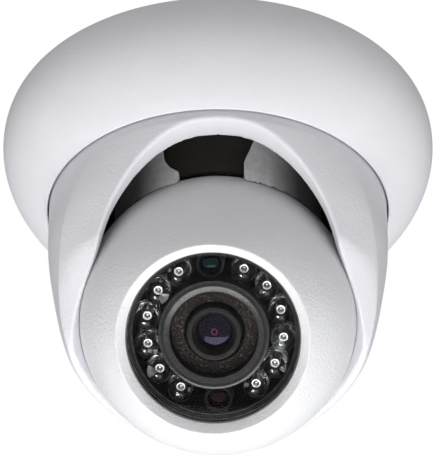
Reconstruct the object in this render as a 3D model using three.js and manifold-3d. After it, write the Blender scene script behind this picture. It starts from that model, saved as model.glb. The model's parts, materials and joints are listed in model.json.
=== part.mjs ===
// Ceiling dome camera of the "eyeball in a turret" kind, built as an assembly.
// Millimetres. Origin: centre of the face that lies on the ceiling. +Z up into the ceiling,
// so the camera hangs towards -Z. The lens looks towards -Y and down.
import * as THREE from 'three';
import { mergeVertices } from 'three/addons/utils/BufferGeometryUtils.js';
import Module from 'manifold-3d';

const wasm = await Module();
wasm.setup();

// ---- driving dimensions -------------------------------------------------------------------
const GAP = 0.3; // clearance between neighbouring pieces
const ROUND = 48; // segments on large turned pieces
const RING_ROUND = 60; // segments on the ring, the turret and its bore
const SMALL_ROUND = 20; // segments on small turned pieces

const RING_R = 46.7; // trim ring, largest radius
const RING_WIDE_Z = -7.0; // height of that radius
const LIP_R = 36.7; // opening of the trim ring
const LIP_Z = -24.2; // lowest edge of the trim ring
const LEDGE_Z = -20.4; // ledge inside the trim ring that carries the turret

const TURRET_R = 36.3;
const TURRET_TOP_Z = -15.8;
const TURRET_BORE_R = 30.55;
const TURRET_BOTTOM_Z = -66;
const FLANGE_R = 38.9;
const FLANGE_Z = [-17.4, -19.4];

const BALL_R = 29.4;
const BALL_INNER_R = 27;
const BALL_Z = -50.3; // ball centre below the ceiling
const SOCKET_R = BALL_R + GAP;

const LENS_DOWN_DEG = 48.9; // optical axis below the horizon at rest
const YAW_DEG = -4.5; // bracket and ball stand turned by this much in the turret
const MOUTH_DEG = 36.5; // slope of the turret's front below the horizon
const MOUTH_DEPTH = -3; // the arch is cut back to this plane, in front of the ball centre
const RIM_DEG = 63; // slope of the rim that hugs the ball, steeper than the front
const RIM_OUT = 4.1; // the rim's circle lies this far out from the ball centre
const RIM_FLARE = 0.4; // the rim opens by this much for each unit outwards
const CREASE_DEPTH = -5; // plane of the crease between the turret's front and its sides

const WINDOW_R = 17.85;
const WINDOW_FRONT = 20.1; // distances along the optical axis from the ball centre
const LED_COUNT = 12;
const LED_PITCH_R = 14.35;
const LED_FIRST_DEG = 28.2;
const LED_STEP_DEG = 23.7;
const FILTER_TRAVEL = 6.5; // infrared-cut filter slides this far
const SEAM = -8; // seam between the ball's shells, behind the centre

const rad = THREE.MathUtils.degToRad;
const clamp01 = (value) => Math.min(1, Math.max(0, value));
const smoothstep = (low, high, value) => {
  const s = clamp01((value - low) / (high - low));
  return s * s * (3 - 2 * s);
};

// ---- materials ----------------------------------------------------------------------------
const finish = (color, roughness, metalness = 0) =>
  new THREE.MeshStandardMaterial({ color, roughness, metalness });
const whitePaint = finish(0xececec, 0.5);
const rawCasting = finish(0x8b8b8d, 0.55, 0.6);
const steel = finish(0xb9bcc0, 0.35, 1);
const blackRubber = finish(0x18181a, 0.8);
const greyRubber = finish(0x4a4b4d, 0.85);
const slipPlastic = finish(0xdcdad2, 0.5);
const blackPlastic = finish(0x1b1a1a, 0.55);
const brownPlastic = finish(0x2c2723, 0.7);
const circuitBoard = finish(0x15301f, 0.5);
const maskBoard = finish(0x111012, 0.45);
const blackAnodised = finish(0x202022, 0.4, 0.7);
const clearGlass = finish(0xe8eef0, 0.05);
const coatedGlass = finish(0x3a2f66, 0.05);
const clearEpoxy = finish(0xd9dcde, 0.1);
const filterGlass = finish(0x5f9ea8, 0.05);
const sensorDark = finish(0x16302f, 0.3);
const copperCoil = finish(0x9b5a2c, 0.4, 0.8);
const cableJacket = finish(0x242426, 0.7);

// ---- solids -------------------------------------------------------------------------------
function solid(geometry) {
  const bare = geometry.clone();
  bare.deleteAttribute('normal');
  bare.deleteAttribute('uv');
  const merged = mergeVertices(bare, 1e-4);
  const points = merged.attributes.position.array;
  const faces = [];
  let volume = 0;
  const corner = (i) => new THREE.Vector3().fromArray(points, 3 * i);
  for (let i = 0; i < merged.index.count; i += 3) {
    const [a, b, c] = [0, 1, 2].map((k) => merged.index.getX(i + k));
    if (a === b || b === c || c === a) continue;
    faces.push(a, b, c);
    volume += corner(a).dot(corner(b).cross(corner(c)));
  }
  if (volume < 0) faces.reverse();
  return new wasm.Manifold(new wasm.Mesh({
    numProp: 3,
    vertProperties: new Float32Array(points),
    triVerts: new Uint32Array(faces),
  }));
}

// A closed outline of [radius, height] points, turned about Z.
function turned(outline, segments = ROUND) {
  const loop = outline.map(([r, z]) => new THREE.Vector2(r, z));
  const first = loop[0];
  const onAxis = first.x === 0 && loop[loop.length - 1].x === 0;
  if (!onAxis) loop.push(first.clone());
  return new THREE.LatheGeometry(loop, segments).rotateX(Math.PI / 2);
}

const turnedSolid = (outline, segments) => solid(turned(outline, segments));

const tube = (rIn, rOut, zLow, zHigh, segments) =>
  turnedSolid([[rIn, zLow], [rOut, zLow], [rOut, zHigh], [rIn, zHigh]], segments);

function rod(radius, zLow, zHigh, x = 0, y = 0, segments = SMALL_ROUND) {
  const shape = new THREE.CylinderGeometry(radius, radius, zHigh - zLow, segments);
  return solid(shape.rotateX(Math.PI / 2).translate(x, y, (zLow + zHigh) / 2));
}

function block([x0, x1], [y0, y1], [z0, z1]) {
  const shape = new THREE.BoxGeometry(x1 - x0, y1 - y0, z1 - z0);
  return solid(shape.translate((x0 + x1) / 2, (y0 + y1) / 2, (z0 + z1) / 2));
}

const turn = (body, degrees) => body.rotate([0, 0, degrees]);

function piece(name, body, material) {
  const { vertProperties, triVerts } = body.getMesh();
  const geometry = new THREE.BufferGeometry();
  geometry.setAttribute('position', new THREE.BufferAttribute(vertProperties, 3));
  geometry.setIndex(new THREE.BufferAttribute(triVerts, 1));
  geometry.computeVertexNormals();
  const mesh = new THREE.Mesh(geometry, material);
  mesh.name = name;
  return mesh;
}

function assembly(...children) {
  const group = new THREE.Group();
  group.add(...children);
  return group;
}

// ---- base: fixed to the ceiling -----------------------------------------------------------
const WALL_R = [36.6, 39.2];
const DISC_R = 41.8;
const DISC_Z = -3.2;
const SCREW_CIRCLE_R = 27;
const OUTLET_Y = -8; // centre of the cable hole
const OUTLET_R = 6.3;
const BOSS_Z = -5;

function basePlate() {
  let body = turnedSolid([
    [0, 0], [40.6, 0], [DISC_R, -1], [DISC_R, DISC_Z], [WALL_R[1], DISC_Z],
    [WALL_R[1], -15.1], [WALL_R[0], -15.1], [WALL_R[0], DISC_Z - 1.5], [33.5, DISC_Z],
    [0, DISC_Z],
  ]);
  body = body.add(rod(OUTLET_R + 3, BOSS_Z, DISC_Z + 1, 0, OUTLET_Y, 32));
  body = body.subtract(rod(OUTLET_R, -10, 5, 0, OUTLET_Y, 32));
  for (let i = 0; i < 3; i += 1) {
    const sunk = turnedSolid([[0, -4], [4.4, -4], [4.4, -2.4], [2.3, -0.6], [2.3, 1], [0, 1]],
      SMALL_ROUND).translate([SCREW_CIRCLE_R, 0, 0]);
    const notch = block([40.2, 44], [-9, 9], [-6, 1]);
    body = body.subtract(turn(sunk, 90 + 120 * i)).subtract(turn(notch, 30 + 120 * i));
  }
  const gasketGroove = tube(34.2, 37.8, -1.1, 1);
  return body.subtract(gasketGroove);
}

const ceilingGasket = () => tube(34.5, 37.5, -0.8, 0);

// Outline of the ring's outside, from the ceiling edge to the lip, as a soft convex sweep.
function ringOutline() {
  const points = [[43.3, 0], [44.6, -0.5], [45.8, -2.4], [46.5, -4.7], [RING_R, RING_WIDE_Z]];
  const sweep = new THREE.CubicBezierCurve(
    new THREE.Vector2(RING_R, RING_WIDE_Z), new THREE.Vector2(RING_R, -12.6),
    new THREE.Vector2(43.4, -18.6), new THREE.Vector2(39.1, -22.7));
  const steps = 7;
  for (let i = 1; i <= steps; i += 1) {
    const p = sweep.getPoint(i / steps);
    points.push([p.x, p.y]);
  }
  points.push([38.2, -23.7], [37.2, LIP_Z], [LIP_R, LIP_Z + 0.3]);
  return points;
}

const RING_BORE_R = 42.1;
const RING_INNER_R = 39.6;
const LOCK_Z = -9;

function trimRing() {
  let body = turnedSolid([
    ...ringOutline(), [LIP_R, LEDGE_Z], [RING_INNER_R, LEDGE_Z], [RING_INNER_R, -11.5],
    [RING_BORE_R, -10], [RING_BORE_R, 0],
  ], RING_ROUND);
  for (let i = 0; i < 3; i += 1) {
    const lug = turnedSolid([[40.5, -5.6], [42.6, -5.6], [42.6, -3.6], [40.5, -3.6]], RING_ROUND)
      .intersect(block([30, 60], [-8, 8], [-8, 0]));
    body = body.add(turn(lug, 90 + 120 * i));
  }
  const lockBore = rod(1.8, 39, 50).rotate([-90, 0, 0]).translate([0, 0, LOCK_Z]);
  return body.subtract(lockBore);
}

function lockScrew() {
  const shank = turnedSolid([[0, 39.5], [1, 39.5], [1.5, 40.2], [1.5, 45.4], [0, 45.4]], 18);
  const hexSocket = rod(0.85, 43.6, 46, 0, 0, 6);
  return shank.subtract(hexSocket).rotate([-90, 0, 0]).translate([0, 0, LOCK_Z]);
}

const frictionRing = () => tube(36.7, 38.7, FLANGE_Z[0] + 0.2, -15.3);
const slideWasher = () => tube(36.9, 39.3, LEDGE_Z + 0.15, FLANGE_Z[1] - 0.15);

const cableGrommet = () =>
  tube(3.1, OUTLET_R - GAP, BOSS_Z - 0.2, -0.6, 24).translate([0, OUTLET_Y, 0]);

// The lead comes through the ceiling hole, drops through the grommet and lies in a loop.
function leadCable() {
  const loopZ = -9.3;
  const loopR = 17;
  const path = new THREE.CatmullRomCurve3([
    new THREE.Vector3(0, OUTLET_Y, -0.6), new THREE.Vector3(0, OUTLET_Y, -4.6),
    new THREE.Vector3(1.3, -6.9, -7.8), new THREE.Vector3(5.5, -2.6, -9.4),
    new THREE.Vector3(11, 5.5, loopZ), new THREE.Vector3(9.5, 13.6, loopZ),
    new THREE.Vector3(0, loopR, loopZ), new THREE.Vector3(-loopR, 0, loopZ),
    new THREE.Vector3(0, -loopR, loopZ), new THREE.Vector3(loopR * 0.85, -loopR * 0.53, loopZ),
  ]);
  const section = new THREE.Shape().absarc(0, 0, 2.3, 0, 2 * Math.PI);
  return solid(new THREE.ExtrudeGeometry(section, {
    extrudePath: path, steps: 28, curveSegments: 3, bevelEnabled: false,
  }));
}

function leadConnector() {
  const housing = block([-5, 5], [-4, 4], [-2.6, 2.6]);
  const socket = block([-4, 4], [-5, 0], [-1.6, 1.6]);
  return housing.subtract(socket).rotate([0, 0, 30]).translate([19.9, -4.2, -9.3]);
}

// ---- turret: turns about Z in the trim ring -----------------------------------------------
const SIDE = [
  [-24.2, 36.3], [-30, 36.3], [-36, 36.15], [-42, 35.4], [-49, 34.2], [-54, 33.1], [-58.5, 31.6],
  [-63, 28.9], [TURRET_BOTTOM_Z, 26.6],
];

// Radius of the turret's side at a height, through the points of SIDE.
function sideRadius(z) {
  if (z >= SIDE[0][0]) return TURRET_R;
  const next = SIDE.findIndex(([low]) => z >= low);
  if (next < 0) return SIDE[SIDE.length - 1][1];
  const [z0, r0] = SIDE[next - 1];
  const [z1, r1] = SIDE[next];
  return r0 + ((r1 - r0) * (z - z0)) / (z1 - z0);
}

// The turret's front is hollowed back from the side: at each height it is an arc whose centre
// lies behind the axis, and which meets the side on the crease plane.
function frontRadius(z, angle) {
  const drop = BALL_Z + 24.3 - z;
  const normal = rad(MOUTH_DEG);
  const side = sideRadius(z);
  const creaseY = (CREASE_DEPTH - Math.sin(normal) * (z - BALL_Z)) / Math.cos(normal);
  const creaseX = Math.sqrt(Math.max(0, side * side - creaseY * creaseY));
  const centreY = 9.2 * Math.sin(clamp01(drop / 16) * Math.PI / 2) + 26 * smoothstep(18, 29, drop);
  const arc = Math.hypot(creaseX, creaseY - centreY);
  const across = centreY * Math.sin(angle);
  return -centreY * Math.cos(angle) + Math.sqrt(Math.max(0, arc * arc - across * across));
}

function softMin(a, b, width) {
  const overlap = Math.max(0, 1 - Math.abs(a - b) / width);
  return Math.min(a, b) - (width * overlap * overlap) / 4;
}

// angle is measured from the front, -Y.
function turretRadius(z, angle) {
  const side = sideRadius(z);
  const drop = -26 - z;
  if (drop <= 0 || Math.abs(angle) > Math.PI * 0.55) return side;
  const blend = 0.9 * clamp01(drop / 5) + 0.05;
  return Math.min(side, softMin(side, frontRadius(z, angle), blend));
}

function turretSkin() {
  const outline = [[0, TURRET_BOTTOM_Z - 6]];
  const rows = 17;
  const lowest = TURRET_BOTTOM_Z - 1;
  for (let i = 0; i <= rows; i += 1) {
    const z = lowest + ((-24.5 - lowest) * i) / rows;
    outline.push([sideRadius(Math.max(z, TURRET_BOTTOM_Z)), z]);
  }
  outline.push([TURRET_R, FLANGE_Z[1]], [FLANGE_R, FLANGE_Z[1]], [FLANGE_R, FLANGE_Z[0]],
    [TURRET_R, FLANGE_Z[0]], [TURRET_R, TURRET_TOP_Z], [0, TURRET_TOP_Z]);
  const skin = turned(outline, RING_ROUND);
  const place = skin.attributes.position;
  for (let i = 0; i < place.count; i += 1) {
    const [x, y, z] = [place.getX(i), place.getY(i), place.getZ(i)];
    const r = Math.hypot(x, y);
    if (z > -26 || z < TURRET_BOTTOM_Z - 2 || r < 1) continue;
    const scale = turretRadius(z, Math.atan2(x, -y)) / r;
    place.setXY(i, x * scale, y * scale);
  }
  return solid(skin);
}

// Half width of the arch against depth below its top, drawn in the XZ plane.
function archCutter() {
  const half = new THREE.SplineCurve([
    [0, -25.9], [4.5, -26.2], [8.6, -27.2], [12.4, -29], [15.9, -31.5], [19, -34.6],
    [21.7, -38.2], [23.7, -42], [25.1, -46], [26, -50], [26.2, -54],
  ].map(([x, z]) => new THREE.Vector2(x, z)));
  const right = [...half.getPoints(18), new THREE.Vector2(26.2, TURRET_BOTTOM_Z)];
  const left = right.slice(1).reverse().map((p) => new THREE.Vector2(-p.x, p.y));
  const outline = new THREE.Shape([...left, ...right]);
  const sheet = new THREE.ExtrudeGeometry(outline, { depth: 60, bevelEnabled: false });
  return solid(sheet.rotateX(Math.PI / 2));
}

// A frame with its origin at the ball centre whose -Z looks out at a slope below the horizon.
function facingOut(body, slope) {
  return body.rotate([-(90 - slope), 0, 0]).translate([0, 0, BALL_Z]);
}

// A cone that opens outwards from the circle where the rim meets the socket.
function rimCutter() {
  const depth = 60;
  const rimR = Math.sqrt(SOCKET_R ** 2 - RIM_OUT ** 2);
  const wide = rimR + RIM_FLARE * (depth - RIM_OUT);
  const cone = turnedSolid([[0, -depth], [wide, -depth], [rimR, -RIM_OUT], [0, -RIM_OUT]], RING_ROUND);
  return facingOut(cone, RIM_DEG);
}

// The half space in front of the mouth and above the ball centre, which the arch is cut in.
function aboveMouth() {
  return facingOut(block([-60, 60], [-90, 0.01], [-120, MOUTH_DEPTH]), MOUTH_DEG);
}

function turretBore() {
  const outline = [[0, TURRET_BOTTOM_Z - 12]];
  const rows = 8;
  const lowest = -Math.PI / 2 + 0.35;
  outline.push([SOCKET_R * Math.cos(lowest), TURRET_BOTTOM_Z - 12]);
  for (let i = 0; i <= rows; i += 1) {
    const a = lowest + (i / rows) * (0.02 - lowest);
    outline.push([SOCKET_R * Math.cos(a), BALL_Z + SOCKET_R * Math.sin(a)]);
  }
  outline.push([TURRET_BORE_R, -47.5], [TURRET_BORE_R, TURRET_TOP_Z + 1], [0, TURRET_TOP_Z + 1]);
  return turnedSolid(outline, RING_ROUND);
}

function turretShell() {
  const neckPocket = turn(rod(31.9, -47, -12, 0, 0, RING_ROUND).intersect(block([-9, 9], [0, 40], [-60, 0])),
    YAW_DEG);
  let body = turretSkin().subtract(turretBore()).subtract(neckPocket);
  body = body.subtract(archCutter().intersect(aboveMouth())).subtract(rimCutter());
  body = body.subtract(block([-50, 50], [-50, 50], [-90, TURRET_BOTTOM_Z]));
  for (const angle of BRACKET_SCREWS) {
    const hole = rod(1.5, -23, 0, BRACKET_SCREW_R, 0, 16);
    body = body.subtract(turn(hole, angle + YAW_DEG));
  }
  return body;
}

// ---- seat bracket: presses the ball into the turret from above ----------------------------
const BRACKET_SCREW_R = 32.6;
const BRACKET_SCREWS = [38, 142, 218, 322];
const CHEEK_R = [19.5, 22.5];
const BRACKET_Z = [-15.5, -13.5];

function seatBracket() {
  const touch = (r) => BALL_Z + Math.sqrt(SOCKET_R * SOCKET_R - r * r);
  const middle = (CHEEK_R[0] + CHEEK_R[1]) / 2;
  let body = turnedSolid([
    [11, BRACKET_Z[0]], [11, BRACKET_Z[1]], [35.2, BRACKET_Z[1]], [35.2, BRACKET_Z[0]],
    [CHEEK_R[1] + 1, BRACKET_Z[0]], [CHEEK_R[1], BRACKET_Z[0] - 1],
    [CHEEK_R[1], touch(CHEEK_R[1])], [middle, touch(middle)], [CHEEK_R[0], touch(CHEEK_R[0])],
    [CHEEK_R[0], BRACKET_Z[0]],
  ]);
  const frontSlot = new THREE.Shape([[-6.6, -34], [-6.6, -27.9], [-8.6, -26], [-9.7, -23.9],
    [-10.8, BRACKET_Z[0]], [10.6, BRACKET_Z[0]], [7.1, -26], [7.1, -34],
  ].map(([x, z]) => new THREE.Vector2(x, z)));
  const slot = new THREE.ExtrudeGeometry(frontSlot, { depth: 40, bevelEnabled: false });
  body = body.subtract(solid(slot.rotateX(Math.PI / 2)));
  body = body.subtract(block([-9, 9], [0, 30], [-40, BRACKET_Z[0]]));
  for (const angle of BRACKET_SCREWS) {
    body = body.subtract(turn(rod(1.8, -20, 0, BRACKET_SCREW_R, 0, 20), angle));
  }
  for (const side of [-1, 1]) {
    body = body.subtract(block([side * 30 - 8, side * 30 + 8], [-9, 9], [-20, 0]));
  }
  return body;
}

// Dark strip that closes the bracket's front slot from inside.
function slotShield() {
  return tube(18.2, CHEEK_R[0] - GAP, -26.7, BRACKET_Z[0] - GAP, 36)
    .intersect(block([-13.5, 13.5], [-CHEEK_R[0], -10], [-30, 0]));
}

function panScrew(reach, radius, headR, headHeight) {
  const body = turnedSolid([
    [0, -reach], [radius - 0.3, -reach], [radius, -reach + 0.6], [radius, 0], [headR, 0],
    [headR, headHeight * 0.6], [headR * 0.6, headHeight], [0, headHeight],
  ], 12);
  const recess = block([-headR * 0.35, headR * 0.35], [-0.4, 0.4], [headHeight * 0.4, 5]);
  return body.subtract(recess);
}

function bracketScrew(angle) {
  const screw = panScrew(8, 1.15, 2.5, 1.5).translate([BRACKET_SCREW_R, 0, BRACKET_Z[1] + 0.1]);
  return turn(screw, angle);
}

// ---- ball pieces, in a frame at the ball centre; the lens looks along -Z, up is -Y --------
// Each height below is minus the distance along the optical axis.
function arcPoints(radius, zFrom, zTo, steps) {
  const [a0, a1] = [Math.asin(zFrom / radius), Math.asin(zTo / radius)];
  return Array.from({ length: steps + 1 }, (_, i) => {
    const a = a0 + ((a1 - a0) * i) / steps;
    return [radius * Math.cos(a), radius * Math.sin(a)];
  });
}

const SHELL_SCREW_R = 21.6;
const SHELL_SCREWS = [90, 210, 330];
const BEZEL_R = 20;

function ballFrontShell() {
  const bezelZ = -Math.sqrt(BALL_R ** 2 - BEZEL_R ** 2);
  const webZ = -16.2;
  let body = turnedSolid([
    ...arcPoints(BALL_R, -SEAM, bezelZ, 9), [18.6, -20.75], [WINDOW_R + GAP, -20.35],
    [WINDOW_R + GAP, -16.9], [17, -16.9], [17, webZ],
    ...arcPoints(BALL_INNER_R, webZ, -SEAM, 5),
  ]);
  for (const angle of SHELL_SCREWS) {
    const post = rod(3, -6, -SEAM, SHELL_SCREW_R, 0, 12);
    const rib = block([SHELL_SCREW_R, 25.9], [-3, 3], [-4, -SEAM]);
    const hole = rod(1.1, -3, 10, SHELL_SCREW_R, 0, 12);
    body = body.add(turn(post.add(rib), angle)).subtract(turn(hole, angle));
  }
  return body;
}

const NECK_R = 5.2;
const NECK_Z = 31.6;

function ballRearShell() {
  const seamZ = -SEAM + GAP;
  const neckFoot = Math.sqrt(BALL_R ** 2 - NECK_R ** 2);
  const boreInside = Math.sqrt(BALL_INNER_R ** 2 - 16);
  let body = turnedSolid([
    ...arcPoints(BALL_R, seamZ, neckFoot, 7), [NECK_R, NECK_Z], [4, NECK_Z], [4, boreInside],
    ...arcPoints(BALL_INNER_R, boreInside, seamZ, 6).slice(1),
    [24.9, seamZ], [24.9, 5.3], [23.7, 5.3], [23.7, 10.5], [25.2, 11.2], [26.2, 10.9],
    [26.2, 9.6 + GAP], [27.9, 9.6 + GAP], [27.9, seamZ],
  ].filter(([r, z]) => !(r > 24.5 && r < 26.1 && z > seamZ && z < 11)));
  for (const angle of SHELL_SCREWS) {
    const boss = rod(3, seamZ, 17.5, SHELL_SCREW_R, 0, 12).intersect(solid(
      new THREE.SphereGeometry(BALL_INNER_R + 1, 24, 14)));
    const lip = rod(3.4, 4, seamZ, SHELL_SCREW_R, 0, 12);
    const well = rod(2.7, 13.5, 40, SHELL_SCREW_R, 0, 12);
    const hole = rod(1.7, 0, 40, SHELL_SCREW_R, 0, 12);
    body = body.subtract(turn(lip, angle)).add(turn(boss, angle));
    body = body.subtract(turn(well.add(hole), angle));
  }
  return body;
}

const shellScrew = (angle) =>
  turn(panScrew(14.4, 0.8, 2.3, 1.5).translate([SHELL_SCREW_R, 0, 13.8]), angle);
const shellSeal = () => tube(26.5, 27.6, -SEAM + GAP, 9.6);

const windowDisc = () => turnedSolid([
  [0, -WINDOW_FRONT + 2], [WINDOW_R, -WINDOW_FRONT + 2], [WINDOW_R, -WINDOW_FRONT + 0.3],
  [WINDOW_R - 0.3, -WINDOW_FRONT], [0, -WINDOW_FRONT],
], 44);
const windowGasket = () => tube(17.05, WINDOW_R, -17.8, -17.2, 40);

const BOARD_FRONT = 8.7;
const ledBoard = () => {
  let body = tube(11.2, 20.5, -BOARD_FRONT, -BOARD_FRONT + 1.6, 40);
  for (const angle of SHELL_SCREWS) body = body.subtract(turn(rod(1.3, -12, 0, 19, 0, 12), angle));
  return body;
};

// Clear five millimetre lamp with a flange at its foot and a domed front.
function infraredLed(index) {
  const foot = -BOARD_FRONT - GAP;
  const steps = 3;
  const dome = Array.from({ length: steps + 1 }, (_, i) => {
    const a = (i / steps) * (Math.PI / 2);
    return [2.5 * Math.cos(a), -14.8 - 2.5 * Math.sin(a)];
  });
  dome[steps][0] = 0;
  const body = turnedSolid([[0, foot], [2.8, foot], [2.8, foot - 1], [2.5, foot - 1], ...dome], 12);
  const half = LED_COUNT / 2;
  const side = index < half ? 1 : -1;
  const step = index < half ? index : LED_COUNT - 1 - index;
  const angle = side * rad(LED_FIRST_DEG + LED_STEP_DEG * step);
  return body.translate([LED_PITCH_R * Math.sin(angle), -LED_PITCH_R * Math.cos(angle), 0]);
}

// A short tube with a recessed face, used for the light sensor above and the port below.
const roundCell = (y) => turnedSolid([
  [0, -BOARD_FRONT - GAP], [2.9, -BOARD_FRONT - GAP], [2.9, -14.6], [2.5, -14.9], [2.2, -14.6],
  [2.2, -13], [0, -13],
], 14).translate([0, y, 0]);

const HOOD_FRONT = 17.5;
const lensHood = () => turnedSolid([
  [10.3, -HOOD_FRONT], [11.4, -HOOD_FRONT], [11.5, -HOOD_FRONT + 0.5], [11.5, -12.4],
  [10.8, -11.4], [10.8, -5], [9.5, -5], [9.5, -15.2], [9.6, -16.2],
], 40);
const lensBaffle = () => turnedSolid([
  [6.35, -14.3], [9.1, -14.3], [9.1, -6.2], [8.4, -6.2], [8.4, -13.3], [6.35, -13.3],
], 36);

const lensBarrel = () => turnedSolid([
  [4.65, -16.2], [5.7, -16.2], [6, -15.9], [6, -3.4], [4.4, -3.4], [4.4, -5.6], [3.1, -6.2],
  [3.1, -12.4], [3.9, -12.6], [3.9, -14.8],
], 32);
const lensGlass = (z, depth, bulge) => turnedSolid([
  [0, z + depth], [3.5, z + depth], [3.5, z], [2.4, z - bulge * 0.55], [1.2, z - bulge * 0.9],
  [0, z - bulge],
], 24);

function lensHolder() {
  const base = block([-12.5, 12.5], [-8.5, 8.5], [-1.6, 3.7]);
  const collar = tube(6.3, 8, -11.5, -1.6, 28);
  const clearBore = rod(4.6, -3, 3, 0, 0, 20);
  const filterSlot = block([-20, 20], [-6, 6], [-0.9, 0.9]);
  const sensorRoom = block([-5, 5], [-4.5, 4.5], [1.9, 5]);
  const barrelRoom = rod(6.3, -12, -1.6, 0, 0, 28);
  return base.add(collar).subtract(barrelRoom).subtract(clearBore).subtract(filterSlot)
    .subtract(sensorRoom);
}

// Two small windows side by side: one blocks infrared by day, the other is clear for night.
const FILTER_HALF = [2.7, 3.6];
function filterFrame() {
  let body = block([-9.9, 3.4], [-5.5, 5.5], [-0.5, 0.5]);
  for (const x of [0, -FILTER_TRAVEL]) {
    body = body.subtract(block([x - FILTER_HALF[0], x + FILTER_HALF[0]],
      [-FILTER_HALF[1], FILTER_HALF[1]], [-1, 1]));
  }
  return body;
}
const filterPane = (x) => block([x - FILTER_HALF[0] + 0.3, x + FILTER_HALF[0] - 0.3],
  [-FILTER_HALF[1] + 0.3, FILTER_HALF[1] - 0.3], [-0.3, 0.3]);
const filterCoil = () => block([-5, 5], [8.9, 12.9], [-1.5, 3.4]);

const imageSensor = () => block([-3.6, 3.6], [-3, 3], [2.5, 3.6]);
function roundBoard(radius, zLow, thickness) {
  let body = rod(radius, zLow, zLow + thickness, 0, 0, 28);
  for (const angle of [30, 150, 270]) {
    body = body.subtract(turn(rod(1.6, zLow - 1, zLow + 5, 14.5, 0, 12), angle));
  }
  return body;
}
const sensorBoard = () => roundBoard(17, 4, 1.4);
const mainBoard = () => roundBoard(17, 13, 1.6);
const boardPost = (angle) => turn(tube(1.2, 2.4, 5.7, 12.7, 10).translate([14.5, 0, 0]), angle);

const neckGland = () => tube(2.6, 3.7, 26.8, 32.2, 16);
const tailCable = () => rod(2.3, 20, 33, 0, 0, 14);
const swivelSleeve = () => tube(5.5, 6.8, 29.6, 31.2, 24);

// ---- assembly -----------------------------------------------------------------------------
function baseAssembly() {
  return assembly(
    piece('base_plate', basePlate(), rawCasting),
    piece('ceiling_gasket', ceilingGasket(), greyRubber),
    piece('trim_ring', trimRing(), whitePaint),
    piece('lock_screw', lockScrew(), steel),
    piece('friction_ring', frictionRing(), greyRubber),
    piece('slide_washer', slideWasher(), slipPlastic),
    piece('cable_grommet', cableGrommet(), blackRubber),
    piece('lead_cable', leadCable(), cableJacket),
    piece('lead_connector', leadConnector(), slipPlastic),
  );
}

function bracketAssembly() {
  return assembly(
    piece('seat_bracket', seatBracket(), rawCasting),
    piece('slot_shield', slotShield(), brownPlastic),
    ...BRACKET_SCREWS.map((angle, i) =>
      piece(`bracket_screw_${i + 1}`, bracketScrew(angle), steel)),
  );
}

function ballAssembly() {
  const shells = [
    piece('ball_front_shell', ballFrontShell(), whitePaint),
    piece('ball_rear_shell', ballRearShell(), whitePaint),
    piece('shell_seal', shellSeal(), greyRubber),
    ...SHELL_SCREWS.map((angle, i) => piece(`shell_screw_${i + 1}`, shellScrew(angle), steel)),
    piece('window', windowDisc(), clearGlass),
    piece('window_gasket', windowGasket(), blackRubber),
    piece('neck_gland', neckGland(), blackRubber),
    piece('tail_cable', tailCable(), cableJacket),
  ];
  const lamps = Array.from({ length: LED_COUNT }, (_, i) =>
    piece(`ir_led_${String(i + 1).padStart(2, '0')}`, infraredLed(i), clearEpoxy));
  const optics = [
    piece('led_board', ledBoard(), maskBoard),
    piece('light_sensor', roundCell(-14.5), sensorDark),
    piece('lower_port', roundCell(14.5), blackPlastic),
    piece('lens_hood', lensHood(), blackRubber),
    piece('lens_baffle', lensBaffle(), blackPlastic),
    piece('lens_barrel', lensBarrel(), blackAnodised),
    piece('lens_front_glass', lensGlass(-13.9, 1, 0.7).intersect(rod(3.5, -20, 0)), coatedGlass),
    piece('lens_rear_glass', lensGlass(-4.9, 1.2, 0.2), clearGlass),
    piece('lens_holder', lensHolder(), blackPlastic),
    piece('filter_coil', filterCoil(), copperCoil),
    piece('image_sensor', imageSensor(), sensorDark),
    piece('sensor_board', sensorBoard(), circuitBoard),
    piece('main_board', mainBoard(), circuitBoard),
    ...[30, 150, 270].map((angle, i) => piece(`board_post_${i + 1}`, boardPost(angle), steel)),
  ];
  return assembly(...shells, ...lamps, ...optics);
}

function filterAssembly() {
  return assembly(
    piece('filter_frame', filterFrame(), blackPlastic),
    piece('day_filter', filterPane(0), filterGlass),
    piece('night_window', filterPane(-FILTER_TRAVEL), clearGlass),
  );
}

const ball = assembly(
  ballAssembly(), filterAssembly(), piece('swivel_sleeve', swivelSleeve(), slipPlastic));
ball.rotation.x = -rad(90 - LENS_DOWN_DEG);
ball.position.z = BALL_Z;

const yawed = assembly(bracketAssembly(), ball);
yawed.rotation.z = rad(YAW_DEG);

const camera = assembly(
  baseAssembly(),
  piece('turret_shell', turretShell(), whitePaint),
  yawed,
);
camera.name = 'dome_camera';

export default camera;
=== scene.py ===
"""Looks of the ceiling dome camera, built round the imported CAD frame.

Helpers work in millimetres in the CAD's own frame; new_piece() turns them into metres.
Pieces of the ball are drawn in the ball's frame: its origin is the ball's centre, the lens looks
along -Z, and -Y is the window's upper side at rest. An outline is a list of [r, z] points, and a
third value is the rounding radius of that corner.
"""
import json
import math

import bpy
import numpy as np
from mathutils import Matrix, Vector

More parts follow.
